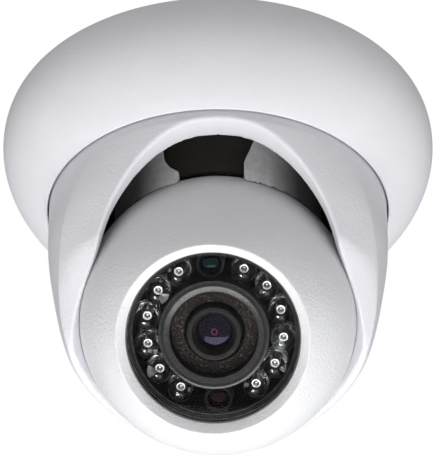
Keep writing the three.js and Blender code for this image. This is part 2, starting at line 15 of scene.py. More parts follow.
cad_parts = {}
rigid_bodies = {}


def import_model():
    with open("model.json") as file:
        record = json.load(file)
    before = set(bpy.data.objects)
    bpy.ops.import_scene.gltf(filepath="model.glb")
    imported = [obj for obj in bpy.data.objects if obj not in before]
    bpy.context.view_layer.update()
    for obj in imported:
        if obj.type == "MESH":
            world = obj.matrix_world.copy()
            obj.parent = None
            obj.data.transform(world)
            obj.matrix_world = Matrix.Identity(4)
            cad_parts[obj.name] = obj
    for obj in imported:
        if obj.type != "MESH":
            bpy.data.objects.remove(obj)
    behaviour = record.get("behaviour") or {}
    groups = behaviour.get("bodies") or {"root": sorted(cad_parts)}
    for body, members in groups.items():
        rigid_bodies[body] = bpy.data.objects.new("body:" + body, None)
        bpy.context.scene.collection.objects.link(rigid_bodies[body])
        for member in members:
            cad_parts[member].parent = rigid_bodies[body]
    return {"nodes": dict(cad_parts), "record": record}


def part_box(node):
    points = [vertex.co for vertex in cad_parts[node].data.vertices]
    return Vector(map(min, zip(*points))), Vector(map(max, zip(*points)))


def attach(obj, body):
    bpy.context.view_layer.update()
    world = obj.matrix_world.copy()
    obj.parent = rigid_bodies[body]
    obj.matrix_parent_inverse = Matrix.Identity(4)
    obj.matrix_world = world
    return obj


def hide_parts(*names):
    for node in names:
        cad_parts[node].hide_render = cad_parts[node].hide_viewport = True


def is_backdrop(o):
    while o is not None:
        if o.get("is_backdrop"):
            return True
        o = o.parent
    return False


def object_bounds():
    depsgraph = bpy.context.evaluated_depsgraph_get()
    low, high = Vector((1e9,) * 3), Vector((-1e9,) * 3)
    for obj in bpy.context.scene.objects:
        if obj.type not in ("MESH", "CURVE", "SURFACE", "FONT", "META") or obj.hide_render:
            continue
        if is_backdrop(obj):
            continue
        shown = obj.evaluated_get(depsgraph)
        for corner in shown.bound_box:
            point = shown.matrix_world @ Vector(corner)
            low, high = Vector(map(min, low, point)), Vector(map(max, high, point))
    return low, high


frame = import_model()
cad_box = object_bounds()

MM = 0.001
JOINTS = {joint["name"]: joint for joint in frame["record"]["behaviour"]["joints"]}

# ---- sizes, in millimetres ------------------------------------------------------------------
RING_LOW, RING_HIGH = (np.array(v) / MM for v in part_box("trim_ring"))
TURRET_LOW, TURRET_HIGH = (np.array(v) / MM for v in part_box("turret_shell"))
LIP_Z = RING_LOW[2]
TURRET_BOTTOM_Z = TURRET_LOW[2]
TURRET_TOP_Z = TURRET_HIGH[2]
FLANGE_R = TURRET_HIGH[0]
RING_R = RING_HIGH[0]

# Trim ring: the height of its widest point, the foot of its outside, its lip and its ledge.
RING_BELLY_Z = -7
RING_FOOT = (39.1, -22.7)
LIP_R = 36.7
LEDGE_R, LEDGE_Z = 39.6, -20.4

# Turret shell: its flange, the hollow for the ball, the bore that widens above it, the relief at
# the back, the fold of its front, the mouth's plane and the rim round the ball.
FLANGE_MID_Z, FLANGE_HALF = -18.4, 1.0
SOCKET_R = 29.45
BORE_R, BORE_TAPER = 30.55, (4, 12)
NECK_POCKET_R, NECK_POCKET_Z, NECK_POCKET_HALF = 31.9, -47.0, 9
FOLD_TOP_Z = -26.0
FOLD_HALF_ANGLE = math.radians(99)
CREASE_DEPTH = -5.0
FRONT_SHIFT, FRONT_RUN = 9.2, 16
CHIN_SHIFT, CHIN_RUN = 26, (18, 29)
MOUTH_DEPTH, MOUTH_DEG = -3.0, 36.5
RIM_DEG, RIM_OUT, RIM_FLARE = 63.0, 4.1, 0.4

# Seat bracket: the hollow for the ball, its tube and its plate.
BRACKET_SOCKET_R = 29.47
TUBE_R, TUBE_HALF = 21, 1.5
PLATE_R, PLATE_HOLE_R, PLATE_Z, PLATE_HALF = 35.2, 11, -14.5, 1

# Ball, from its own centre: the shells, the neck and the window's seat.
BALL_R, BALL_INNER_R = 29.4, 27
BALL_SEAM_Z = 8.3
NECK_R, NECK_BORE_R, NECK_END_Z = 5.2, 4, 31.6
BEZEL_R = 20.0
SEAT_R, SEAT_Z = 18.15, -16.9
OPENING_R = 17
WINDOW_R, WINDOW_FRONT = 17.85, 20.1

# Lamps and round cells.
BOARD_FRONT = 8.7
LAMP_R, LAMP_FOOT_R = 2.5, 2.8
LAMP_PITCH_R = 14.35
LAMP_CUP_Z = -13.5
CELL_Y = 14.5

BALL_CENTRE = Vector(JOINTS["roll"]["pos_m"]) / MM
BALL_Z = BALL_CENTRE.z
TILT_AXIS = Vector(JOINTS["tilt"]["axis"]).normalized()
LENS_AXIS = Vector(JOINTS["roll"]["axis"]).normalized()


def ball_frame():
    """Ball frame to the CAD's frame, in millimetres."""
    z = -LENS_AXIS
    x = TILT_AXIS
    y = z.cross(x)
    turn = Matrix((x, y, z)).transposed().to_4x4()
    return Matrix.Translation(BALL_CENTRE) @ turn


BALL = ball_frame()
YAW = Matrix.Rotation(math.atan2(TILT_AXIS.y, TILT_AXIS.x), 4, "Z")
UPRIGHT = Matrix.Identity(4)


# ---- mesh helpers ---------------------------------------------------------------------------
FILLET_STEPS = 4
NEARLY_STRAIGHT = math.radians(86)
TINY = 1e-6


def new_piece(name, points, faces, material, body, stands_for=(), place=UPRIGHT, normals=None,
              sharp_deg=None):
    """A mesh piece in metres, riding on a body. points are millimetres in the frame of place."""
    mesh = bpy.data.meshes.new(name)
    mesh.from_pydata([tuple(p) for p in points], [], [tuple(f) for f in faces])
    mesh.transform(Matrix.Scale(MM, 4) @ place)
    mesh.materials.append(material)
    for polygon in mesh.polygons:
        polygon.use_smooth = True
    mesh.update()
    if sharp_deg is not None:
        mesh.set_sharp_from_angle(angle=math.radians(sharp_deg))
    if normals is not None:
        turn = place.to_3x3()
        mesh.normals_split_custom_set_from_vertices([tuple(turn @ Vector(n)) for n in normals])
    piece = bpy.data.objects.new(name, mesh)
    bpy.context.scene.collection.objects.link(piece)
    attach(piece, body)
    if stands_for:
        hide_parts(*stands_for)


def fillet(outline, radius, closed):
    """Rounds the corners of an outline, by radius where a point has no radius of its own."""
    rounded = []
    count = len(outline)
    for i, entry in enumerate(outline):
        own = entry[2] if len(entry) > 2 else radius
        corner = np.array(entry[:2], float)
        ends = not closed and i in (0, count - 1)
        before = np.array(outline[i - 1][:2], float)
        after = np.array(outline[(i + 1) % count][:2], float)
        into, out = before - corner, after - corner
        reach = min(np.linalg.norm(into), np.linalg.norm(out)) * 0.49
        if ends or own <= 0 or reach < TINY:
            rounded.append(corner)
            continue
        into, out = into / np.linalg.norm(into), out / np.linalg.norm(out)
        half = math.acos(float(np.clip(into @ out, -1, 1))) / 2
        if half > NEARLY_STRAIGHT:
            rounded.append(corner)
            continue
        run = min(own / math.tan(half), reach)
        arc_radius = run * math.tan(half)
        centre = corner + (into + out) / np.linalg.norm(into + out) * arc_radius / math.sin(half)
        start, stop = corner + into * run, corner + out * run
        a0 = math.atan2(*(start - centre)[::-1])
        a1 = math.atan2(*(stop - centre)[::-1])
        sweep = (a1 - a0 + math.pi) % (2 * math.pi) - math.pi
        for k in range(FILLET_STEPS + 1):
            a = a0 + sweep * k / FILLET_STEPS
            rounded.append(centre + arc_radius * np.array([math.cos(a), math.sin(a)]))
    return np.array(rounded)


def turned_mesh(outline, segments):
    """Points and faces of an outline turned about Z. A point on the axis becomes one vertex."""
    outline = [(float(r), float(z)) for r, z in outline]
    points, rings = [], []
    for r, z in outline:
        if r < TINY:
            rings.append([len(points)] * segments)
            points.append((0.0, 0.0, z))
            continue
        rings.append(list(range(len(points), len(points) + segments)))
        for k in range(segments):
            a = 2 * math.pi * k / segments
            points.append((r * math.cos(a), r * math.sin(a), z))
    ends_on_axis = outline[0][0] < TINY and outline[-1][0] < TINY
    area = sum(r0 * z1 - r1 * z0 for (r0, z0), (r1, z1) in zip(outline, outline[1:] + outline[:1]))
    faces = []
    pairs = list(zip(rings, rings[1:] + rings[:1]))
    if ends_on_axis:
        pairs = pairs[:-1]
    for low, high in pairs:
        for k in range(segments):
            n = (k + 1) % segments
            loop = [low[k], low[n], high[n], high[k]]
            loop = [v for j, v in enumerate(loop) if v != loop[j - 1]]
            if len(loop) > 2:
                faces.append(loop if area > 0 else loop[::-1])
    return points, faces


def turned(name, outline, material, body, stands_for=(), place=UPRIGHT, radius=0.15, segments=96,
           sharp_deg=None):
    """A piece turned from an outline, with its corners rounded by radius."""
    closed = not (outline[0][0] == 0 and outline[-1][0] == 0)
    rounded = fillet(outline, radius, closed)
    points, faces = turned_mesh(rounded, segments)
    new_piece(name, points, faces, material, body, stands_for, place, sharp_deg=sharp_deg)


def arc(radius, z_from, z_to, steps):
    """[r, z] points of a circle about the origin, from one height to another."""
    a0, a1 = math.asin(z_from / radius), math.asin(z_to / radius)
    turn = [a0 + (a1 - a0) * i / steps for i in range(steps + 1)]
    return [[radius * math.cos(a), radius * math.sin(a)] for a in turn]


def smooth(points):
    """Outline points that are left unrounded, because they already lie on a curve."""
    return [[*p, 0] for p in points]


# ---- signed distances -----------------------------------------------------------------------
def soft_min(a, b, width):
    overlap = np.maximum(0, 1 - np.abs(a - b) / width)
    return np.minimum(a, b) - width * overlap ** 2 / 4


def soft_max(a, b, width):
    return -soft_min(-a, -b, width)


class OutlineDistance:
    """Signed distance to a closed 2-D outline, negative inside, looked up in a fine grid."""

    STEP = 0.12

    def __init__(self, outline, low, high):
        self.low = np.array(low, float)
        counts = np.ceil((np.array(high) - self.low) / self.STEP).astype(int) + 2
        u = self.low[0] + self.STEP * np.arange(counts[0])
        v = self.low[1] + self.STEP * np.arange(counts[1])
        gu, gv = np.meshgrid(u, v, indexing="ij")
        nearest = np.full(gu.shape, 1e9)
        inside = np.zeros(gu.shape, bool)
        outline = np.array(outline, float)
        for (x0, y0), (x1, y1) in zip(outline, np.roll(outline, -1, axis=0)):
            dx, dy = x1 - x0, y1 - y0
            length = dx * dx + dy * dy
            if length < TINY ** 2:
                continue
            s = np.clip(((gu - x0) * dx + (gv - y0) * dy) / length, 0, 1)
            nearest = np.minimum(nearest, (gu - x0 - s * dx) ** 2 + (gv - y0 - s * dy) ** 2)
            crosses = (gv >= min(y0, y1)) & (gv < max(y0, y1))
            if abs(dy) > TINY ** 2:
                inside ^= crosses & (gu < x0 + (gv - y0) * dx / dy)
        self.table = np.sqrt(nearest) * np.where(inside, -1, 1)

    def __call__(self, u, v):
        su = np.clip((u - self.low[0]) / self.STEP, 0, self.table.shape[0] - 1.001)
        sv = np.clip((v - self.low[1]) / self.STEP, 0, self.table.shape[1] - 1.001)
        iu, iv = su.astype(int), sv.astype(int)
        fu, fv = su - iu, sv - iv
        t = self.table
        low = t[iu, iv] * (1 - fu) + t[iu + 1, iv] * fu
        high = t[iu, iv + 1] * (1 - fu) + t[iu + 1, iv + 1] * fu
        return low * (1 - fv) + high * fv


def surface_net(distance, low, high, step):
    """Points, faces and normals of distance(x, y, z) = 0, with the points moved onto it."""
    axes = [np.arange(lo, hi + step, step) for lo, hi in zip(low, high)]
    shape = tuple(len(a) for a in axes)
    field = np.empty(shape, np.float32)
    for k, z in enumerate(axes[2]):
        x, y = np.meshgrid(axes[0], axes[1], indexing="ij")
        field[:, :, k] = distance(x, y, np.full_like(x, z))
    solid = field < 0
    cell_sum = np.zeros(tuple(n - 1 for n in shape), np.int8)
    for i in (0, 1):
        for j in (0, 1):
            for k in (0, 1):
                cell_sum += solid[i:shape[0] - 1 + i, j:shape[1] - 1 + j, k:shape[2] - 1 + k]
    mixed = (cell_sum > 0) & (cell_sum < 8)
    index = np.full(mixed.shape, -1, np.int64)
    index[mixed] = np.arange(mixed.sum())
    cells = np.argwhere(mixed)
    points = np.array(low) + (cells + 0.5) * step
    faces = []
    for axis in range(3):
        others = [a for a in range(3) if a != axis]
        here = [slice(None)] * 3
        ahead = [slice(None)] * 3
        here[axis], ahead[axis] = slice(0, -1), slice(1, None)
        crossing = solid[tuple(here)] != solid[tuple(ahead)]
        edges = np.argwhere(crossing)
        inner = np.all(edges[:, others] > 0, axis=1)
        inner &= np.all(edges[:, others] < np.array(shape)[others] - 1, axis=1)
        edges = edges[inner]
        starts_solid = solid[tuple(edges.T)]
        corners = []
        for du, dv in ((1, 1), (0, 1), (0, 0), (1, 0)):
            cell = edges.copy()
            cell[:, others[0]] -= du
            cell[:, others[1]] -= dv
            corners.append(index[tuple(cell.T)])
        quads = np.stack(corners, axis=1)
        flip = starts_solid if axis == 1 else ~starts_solid
        quads[flip] = quads[flip][:, ::-1]
        faces.append(quads)
    faces = np.concatenate(faces)
    for _ in range(4):
        value, slope = value_and_slope(distance, points)
        move = value[:, None] * slope / np.maximum(1e-6, (slope ** 2).sum(1))[:, None]
        length = np.linalg.norm(move, axis=1)
        limit = 0.5 * step
        move *= np.minimum(1, limit / np.maximum(length, 1e-9))[:, None]
        points = points - move
    _, slope = value_and_slope(distance, points)
    normals = slope / np.maximum(1e-9, np.linalg.norm(slope, axis=1))[:, None]
    return points, faces, normals


def value_and_slope(distance, points, reach=0.05):
    x, y, z = points.T
    value = distance(x, y, z)
    slope = np.stack([
        distance(x + reach, y, z) - distance(x - reach, y, z),
        distance(x, y + reach, z) - distance(x, y - reach, z),
        distance(x, y, z + reach) - distance(x, y, z - reach)], axis=1) / (2 * reach)
    return value, slope


# ---- materials ------------------------------------------------------------------------------
class Nodes:
    """Small helper for building a node material."""

    def __init__(self, name):
        self.material = bpy.data.materials.new(name)
        self.material.use_nodes = True
        self.tree = self.material.node_tree
        self.shader = self.tree.nodes["Principled BSDF"]
        self.output = self.tree.nodes["Material Output"]
        self.coordinates = self.add("ShaderNodeTexCoord").outputs["Object"]

    def add(self, kind, **values):
        node = self.tree.nodes.new(kind)
        for key, value in values.items():
            if key in node.inputs:
                node.inputs[key].default_value = value
            else:
                setattr(node, key, value)
        return node

    def link(self, source, target):
        self.tree.links.new(source, target)

    def noise(self, size_mm, detail=3.0, roughness=0.5):
        node = self.add("ShaderNodeTexNoise", Scale=1 / (size_mm * MM), Detail=detail,
                        Roughness=roughness)
        self.link(self.coordinates, node.inputs["Vector"])
        return node.outputs["Fac"]

    def cells(self, size_mm):
        node = self.add("ShaderNodeTexVoronoi", feature="SMOOTH_F1", Scale=1 / (size_mm * MM))
        node.inputs["Smoothness"].default_value = 0.6
        self.link(self.coordinates, node.inputs["Vector"])
        return node.outputs["Distance"]

    def ramp(self, source, low, high, colour_low, colour_high):
        node = self.add("ShaderNodeValToRGB")
        node.color_ramp.elements[0].position = low
        node.color_ramp.elements[1].position = high
        node.color_ramp.elements[0].color = (*colour_low, 1)
        node.color_ramp.elements[1].color = (*colour_high, 1)
        self.link(source, node.inputs["Fac"])
        return node.outputs["Color"]

    def spread(self, source, low, high):
        """Maps 0..1 to low..high."""
        node = self.add("ShaderNodeMapRange")
        node.inputs["To Min"].default_value = low
        node.inputs["To Max"].default_value = high
        self.link(source, node.inputs["Value"])
        return node.outputs["Result"]

    def painted_side_shade(self, colour, near_mm, far_mm, level):
        """Painted shade: darkens a colour to level as |x| goes from near_mm to far_mm."""
        split = self.add("ShaderNodeSeparateXYZ")
        self.link(self.coordinates, split.inputs["Vector"])
        reach = self.add("ShaderNodeMath", operation="ABSOLUTE")
        self.link(split.outputs["X"], reach.inputs[0])
        fade = self.add("ShaderNodeMapRange")
        for name, value in (("From Min", near_mm * MM), ("From Max", far_mm * MM),
                            ("To Min", 1.0), ("To Max", level)):
            fade.inputs[name].default_value = value
        self.link(reach.outputs["Value"], fade.inputs["Value"])
        scaled = self.add("ShaderNodeVectorMath", operation="SCALE")
        self.link(colour, scaled.inputs[0])
        self.link(fade.outputs["Result"], scaled.inputs["Scale"])
        return scaled.outputs["Vector"]

    def bump(self, source, height_mm, after=None):
        node = self.add("ShaderNodeBump", Strength=1.0, Distance=height_mm * MM)
        self.link(source, node.inputs["Height"])
        if after is not None:
            self.link(after, node.inputs["Normal"])
        return node.outputs["Normal"]

    def set(self, **values):
        for key, value in values.items():
            self.shader.inputs[key.replace("_", " ")].default_value = value


def shade(colour, level):
    return tuple(c * level for c in colour)


def white_paint(name, grain_mm, grain_height, colour):
    """Powder-coat white: fine leathery stipple, faint mottling and softly worn gloss."""
    n = Nodes(name)
    n.set(Specular_IOR_Level=0.3)
    darker = shade(colour, 0.965)
    n.link(n.ramp(n.noise(9.0, 4), 0.3, 0.7, darker, colour), n.shader.inputs["Base Color"])
    n.link(n.spread(n.noise(2.5, 4), 0.36, 0.5), n.shader.inputs["Roughness"])
    fine = n.noise(grain_mm * 0.55, 2)
    first = n.bump(n.cells(grain_mm), grain_height)
    n.link(n.bump(fine, grain_height * 0.8, after=first), n.shader.inputs["Normal"])
    return n.material


def cast_metal(name, colour, metallic, with_side_shade=False):
    """Raw die casting with a mottled skin; the side-shade flag paints shade that darkens it away
    from the plane x = 0.
    """
    n = Nodes(name)
    n.set(Metallic=metallic)
    mottle_and_side_shade = n.ramp(n.noise(1.6, 5), 0.3, 0.75, shade(colour, 0.8), colour)
    # Painted shade: the casting darkens towards its sides, where the turret shades it.
    if with_side_shade:
        mottle_and_side_shade = n.painted_side_shade(mottle_and_side_shade, 10.5, 17.0, 0.2)
    n.link(mottle_and_side_shade, n.shader.inputs["Base Color"])
    n.link(n.spread(n.noise(0.8, 4), 0.42, 0.62), n.shader.inputs["Roughness"])
    first = n.bump(n.noise(0.5, 4), 0.03)
    n.link(n.bump(n.noise(5.0, 2), 0.1, after=first), n.shader.inputs["Normal"])
    return n.material


def machined_steel(name, colour):
    """Bare turned metal with fine marks."""
    n = Nodes(name)
    n.set(Metallic=1.0)
    n.link(n.ramp(n.noise(0.7, 4), 0.35, 0.7, shade(colour, 0.8), colour),
           n.shader.inputs["Base Color"])
    n.link(n.spread(n.noise(0.3, 3), 0.22, 0.4), n.shader.inputs["Roughness"])
    n.link(n.bump(n.noise(0.15, 2), 0.008), n.shader.inputs["Normal"])
    return n.material


def moulded(name, colour, roughness, grain_mm, height_mm, fleck=None, ior=1.5):
    """Rubber or plastic with a fine moulded grain; fleck is a lighter speck colour."""
    n = Nodes(name)
    n.set(IOR=ior)
    light = fleck or tuple(min(1, c * 1.35 + 0.002) for c in colour)
    low, high = (0.56, 0.7) if fleck else (0.45, 0.8)
    n.link(n.ramp(n.noise(grain_mm, 3, 0.65), low, high, colour, light),
           n.shader.inputs["Base Color"])
    n.link(n.spread(n.noise(grain_mm * 3, 3), roughness - 0.07, roughness + 0.08),
           n.shader.inputs["Roughness"])
    n.link(n.bump(n.noise(grain_mm, 3), height_mm), n.shader.inputs["Normal"])
    return n.material


def circuit_board(name, colour, trace):
    """Solder mask over faint square tracks."""
    n = Nodes(name)
    n.set(Coat_Weight=0.3)
    tracks = n.add("ShaderNodeTexBrick", Scale=1 / (6 * MM))
    n.link(n.coordinates, tracks.inputs["Vector"])
    for key, value in (("Color1", (*colour, 1)), ("Color2", (*shade(colour, 0.8), 1)),
                       ("Mortar", (*trace, 1)), ("Mortar Size", 0.02)):
        tracks.inputs[key].default_value = value
    n.link(tracks.outputs["Color"], n.shader.inputs["Base Color"])
    n.link(n.spread(n.noise(1.0, 3), 0.3, 0.5), n.shader.inputs["Roughness"])
    n.link(n.bump(tracks.outputs["Fac"], 0.03), n.shader.inputs["Normal"])
    return n.material


def clear_pane(name, tint, ior=1.5):
    """Thin glass: the view goes straight through, with a mirror film that follows Fresnel."""
    n = Nodes(name)
    n.tree.nodes.remove(n.shader)
    through = n.add("ShaderNodeBsdfTransparent")
    through.inputs["Color"].default_value = (*tint, 1)
    shine = n.add("ShaderNodeBsdfGlossy")
    n.link(n.spread(n.noise(4.0, 4), 0.02, 0.04), shine.inputs["Roughness"])
    fresnel = n.add("ShaderNodeFresnel", IOR=ior)
    mix = n.add("ShaderNodeMixShader")
    n.link(fresnel.outputs["Fac"], mix.inputs["Fac"])
    n.link(through.outputs["BSDF"], mix.inputs[1])
    n.link(shine.outputs["BSDF"], mix.inputs[2])
    n.link(mix.outputs["Shader"], n.output.inputs["Surface"])
    return n.material


def clear_epoxy(name, tint):
    """Solid clear epoxy with faint flow marks."""
    n = Nodes(name)
    n.set(Transmission_Weight=1.0, IOR=1.5)
    n.link(n.ramp(n.noise(2.0, 2), 0.3, 0.7, shade(tint, 0.97), tint),
           n.shader.inputs["Base Color"])
    n.link(n.spread(n.noise(1.0, 2), 0.01, 0.03), n.shader.inputs["Roughness"])
    n.link(n.bump(n.noise(1.5, 2), 0.01), n.shader.inputs["Normal"])
    return n.material


def coated_lens(name, film):
    """Dark glass whose mirror film is tinted."""
    n = Nodes(name)
    # Painted sheen: the base colour turns bluer where the glass is seen at a grazing angle.
    facing = n.add("ShaderNodeLayerWeight", Blend=0.35).outputs["Facing"]
    n.link(n.ramp(facing, 0.05, 0.6, (0.003, 0.001, 0.004), (0.01, 0.006, 0.03)),
           n.shader.inputs["Base Color"])
    n.set(Specular_Tint=(*film, 1))
    n.link(n.spread(n.noise(2.0, 2), 0.0, 0.02), n.shader.inputs["Roughness"])
    return n.material


PAINT_RING = white_paint("ring_paint", 0.5, 0.02, (0.795, 0.795, 0.83))
PAINT_TURRET = white_paint("turret_paint", 0.55, 0.05, (0.795, 0.795, 0.835))
PAINT_BALL = white_paint("ball_paint", 0.5, 0.09, (0.795, 0.797, 0.815))
CASTING = cast_metal("raw_casting", (0.5, 0.5, 0.51), 0.6)
# The bracket's casting carries painted shade: it darkens away from its slot towards both sides.
CHEEKS = cast_metal("bracket_casting", (1.0, 0.99, 0.99), 0.0, with_side_shade=True)
# Painted shade: a dark brown sheet behind the bracket's slot, where the inside is only in shadow.
SLOT_SHADE = moulded("painted_slot_shade", (0.03, 0.024, 0.018), 0.8, 0.5, 0.02)
STEEL = machined_steel("zinc_steel", (0.6, 0.61, 0.63))
BRIGHT = machined_steel("lamp_frame_metal", (0.85, 0.85, 0.86))
RUBBER = moulded("black_rubber", (0.012, 0.012, 0.013), 0.5, 0.25, 0.012)
FELT = moulded("grey_felt", (0.08, 0.08, 0.085), 0.9, 0.4, 0.08)
SLIP = moulded("slip_plastic", (0.6, 0.58, 0.52), 0.4, 0.5, 0.01)
BLACK = moulded("black_plastic", (0.014, 0.013, 0.012), 0.5, 0.3, 0.02)
HOOD = moulded("hood_plastic", (0.02, 0.02, 0.021), 0.4, 0.2, 0.002, ior=1.4)
LIP = moulded("hood_lip", (0.02, 0.02, 0.021), 0.25, 0.2, 0.001, ior=2.0)
BAFFLE = moulded("stippled_baffle", (0.02, 0.013, 0.011), 0.6, 0.36, 0.05, (0.32, 0.29, 0.27), 1.3)
JACKET = moulded("cable_jacket", (0.015, 0.015, 0.016), 0.6, 0.6, 0.02)
COPPER = moulded("copper_winding", (0.3, 0.1, 0.03), 0.35, 0.2, 0.04)
BOARD = circuit_board("green_board", (0.01, 0.07, 0.03), (0.02, 0.12, 0.05))
MASK = moulded("lamp_board", (0.006, 0.006, 0.006), 0.8, 0.4, 0.01, ior=1.2)
ANODISED = moulded("black_anodised", (0.02, 0.018, 0.018), 0.38, 0.15, 0.004, ior=1.4)
# Painted reflection: a magenta colour that stands in for the lens coating's reflection at its
# middle.
LENS_REFLECTION = moulded("painted_magenta_reflection", (0.1, 0.002, 0.055), 0.5, 0.2, 0.004)
CELL = moulded("sensor_face", (0.01, 0.05, 0.05), 0.2, 0.6, 0.01, (0.05, 0.25, 0.24))
WINDOW = clear_pane("window_glass", (0.95, 0.95, 0.95), ior=1.2)
FILTER = clear_pane("filter_glass", (0.35, 0.7, 0.75))
EPOXY = clear_epoxy("lamp_epoxy", (0.97, 0.975, 0.98))
LENS = coated_lens("lens_coating", (0.75, 0.65, 1.0))
SENSOR_LENS = coated_lens("sensor_coating", (0.35, 1.0, 0.95))
PORT_LENS = coated_lens("port_coating", (1.0, 0.45, 0.4))

# The record's material slot that each finish belongs to.
SLOTS = {
    "white_paint": (PAINT_RING, PAINT_TURRET, PAINT_BALL), "raw_casting": (CASTING, CHEEKS),
    "steel": (STEEL, BRIGHT), "black_rubber": (RUBBER, HOOD, LIP), "black_plastic": (BLACK, BAFFLE),
    "black_anodised": (ANODISED,), "clear_glass": (WINDOW,), "clear_epoxy": (EPOXY,),
    "coated_glass": (LENS, LENS_REFLECTION), "sensor_dark": (CELL, SENSOR_LENS, PORT_LENS),
}
for slot_name, finishes in SLOTS.items():
    for finish in finishes:
        finish["slot"] = slot_name


# ---- turret shell ---------------------------------------------------------------------------
# The side's [z, radius] points from the ring down, and the mouth's [half width, z] points from
# the top of its arch down.
SIDE = np.array([
    [-24.2, 36.3], [-30, 36.3], [-36, 36.15], [-42, 35.4], [-49, 34.2], [-54, 33.1],
    [-58.5, 31.6], [-63, 28.9], [-66, 26.6], [-70, 22.8]])
ARCH = np.array([
    [0, -25.9], [4.5, -26.2], [8.6, -27.2], [12.4, -29], [15.9, -31.5], [19, -34.6],
    [21.7, -38.2], [23.7, -42], [25.1, -46], [26, -50], [26.2, -54]])


def spline(points, per_span):
    """Catmull-Rom curve through the points."""
    first, last = 2 * points[0] - points[1], 2 * points[-1] - points[-2]
    knots = np.vstack([first, points, last])
    curve = []
    for p0, p1, p2, p3 in zip(knots, knots[1:], knots[2:], knots[3:]):
        for k in range(per_span):
            s = k / per_span
            curve.append(0.5 * (2 * p1 + (p2 - p0) * s + (2 * p0 - 5 * p1 + 4 * p2 - p3) * s ** 2
                                + (3 * p1 - p0 - 3 * p2 + p3) * s ** 3))
    curve.append(points[-1])
    return np.array(curve)


SIDE_CURVE = spline(SIDE, 10)[::-1]


def side_radius(z):
    """The turret's radius at a height, away from its folded front."""
    return np.interp(z, SIDE_CURVE[:, 0], SIDE_CURVE[:, 1])


def smoothstep(low, high, value):
    """0 below low, 1 above high, with an even ease between them."""
    s = np.clip((value - low) / (high - low), 0, 1)
    return s * s * (3 - 2 * s)


MOUTH_NORMAL = (math.cos(math.radians(MOUTH_DEG)), math.sin(math.radians(MOUTH_DEG)))
RIM_NORMAL = (math.cos(math.radians(RIM_DEG)), math.sin(math.radians(RIM_DEG)))


def front_radius(z, angle):
    """The turret's front at a height: an arc whose centre is behind the axis and which meets
    the side on the crease plane."""
    side = side_radius(z)
    drop = FOLD_TOP_Z - z
    crease_y = (CREASE_DEPTH - MOUTH_NORMAL[1] * (z - BALL_Z)) / MOUTH_NORMAL[0]
    crease_x = np.sqrt(np.maximum(0, side ** 2 - crease_y ** 2))
    centre_y = FRONT_SHIFT * np.sin(np.clip(drop / FRONT_RUN, 0, 1) * math.pi / 2)
    centre_y = centre_y + CHIN_SHIFT * smoothstep(*CHIN_RUN, drop)
    radius = np.hypot(crease_x, crease_y - centre_y)
    across = centre_y * np.sin(angle)
    return -centre_y * np.cos(angle) + np.sqrt(np.maximum(0, radius ** 2 - across ** 2))


def turret_radius(z, angle):
    """The outer radius: the side, folded flatter in front of the crease planes."""
    side = side_radius(z)
    drop = FOLD_TOP_Z - z
    blend = 0.1 * np.clip(drop / 5, 0, 1) + 0.02
    folded = np.minimum(side, soft_min(side, front_radius(z, angle), blend))
    return np.where((drop <= 0) | (np.abs(angle) > FOLD_HALF_ANGLE), side, folded)


def arch_outline():
    """The mouth seen from the front, open below the turret."""
    right = np.vstack([spline(ARCH, 12), [[ARCH[-1][0], -90]]])
    return np.vstack([right, right[::-1] * [-1, 1]])


def rim_cone(x, y, z):
    """Signed distance to the cone that opens outwards from the rim hugging the ball."""
    out = -RIM_NORMAL[0] * y - RIM_NORMAL[1] * (z - BALL_Z)
    across = np.hypot(x, -RIM_NORMAL[1] * y + RIM_NORMAL[0] * (z - BALL_Z))
    rim_r = math.sqrt(SOCKET_R ** 2 - RIM_OUT ** 2)
    side = (across - rim_r - RIM_FLARE * (out - RIM_OUT)) / math.hypot(1, RIM_FLARE)
    return soft_max(side, RIM_OUT - out, 0.2)


def neck_pocket(x, y, z):
    """Signed distance to the relief at the back for the ball's neck."""
    across = np.abs(x * TILT_AXIS.x + y * TILT_AXIS.y)
    ahead = x * TILT_AXIS.y - y * TILT_AXIS.x
    wall = np.maximum(np.hypot(x, y) - NECK_POCKET_R, NECK_POCKET_Z - z)
    return np.maximum(wall, np.maximum(across - NECK_POCKET_HALF, ahead))


LEANING_WALL = 0.97     # distance to a leaning wall, as a share of the distance along a radius


def turret_distance():
    """Signed distance to the turret shell, as a function of x, y and z."""
    arch = OutlineDistance(arch_outline(), (-1, -92), (42, -12))

    def distance(x, y, z):
        r = np.hypot(x, y)
        outer = (r - turret_radius(z, np.arctan2(x, -y))) * LEANING_WALL
        flange = np.maximum(r - FLANGE_R, np.abs(z - FLANGE_MID_Z) - FLANGE_HALF)
        outer = soft_min(outer, flange, 0.3)
        outer = soft_max(outer, TURRET_BOTTOM_Z - z, 0.8)
        outer = soft_max(outer, z - TURRET_TOP_Z, 0.4)
        socket = np.sqrt(r ** 2 + (z - BALL_Z) ** 2) - SOCKET_R
        bore_r = SOCKET_R + (BORE_R - SOCKET_R) * smoothstep(*BORE_TAPER, z - BALL_Z)
        bore = np.maximum(r - bore_r, BALL_Z - z)
        hollow = np.minimum(np.minimum(socket, bore), neck_pocket(x, y, z))
        depth = MOUTH_NORMAL[0] * y + MOUTH_NORMAL[1] * (z - BALL_Z) - MOUTH_DEPTH
        opening = soft_max(arch(np.abs(x), z), depth, 0.3)
        cut = soft_min(opening, rim_cone(x, y, z), 2.4)
        rim_width = 0.9 + 2.1 * smoothstep(6, 12, BALL_Z - z)
        body = soft_max(outer, -cut, rim_width)
        return soft_max(body, -hollow, 0.15)

    return distance


def turret_shell():
    step = 0.45
    points, faces, normals = surface_net(
        turret_distance(), (-40, -40, TURRET_BOTTOM_Z - 1.2), (40, 40, TURRET_TOP_Z + 1), step)
    new_piece("turret_casting", points, faces, PAINT_TURRET, "turret", ["turret_shell"],
              normals=normals)


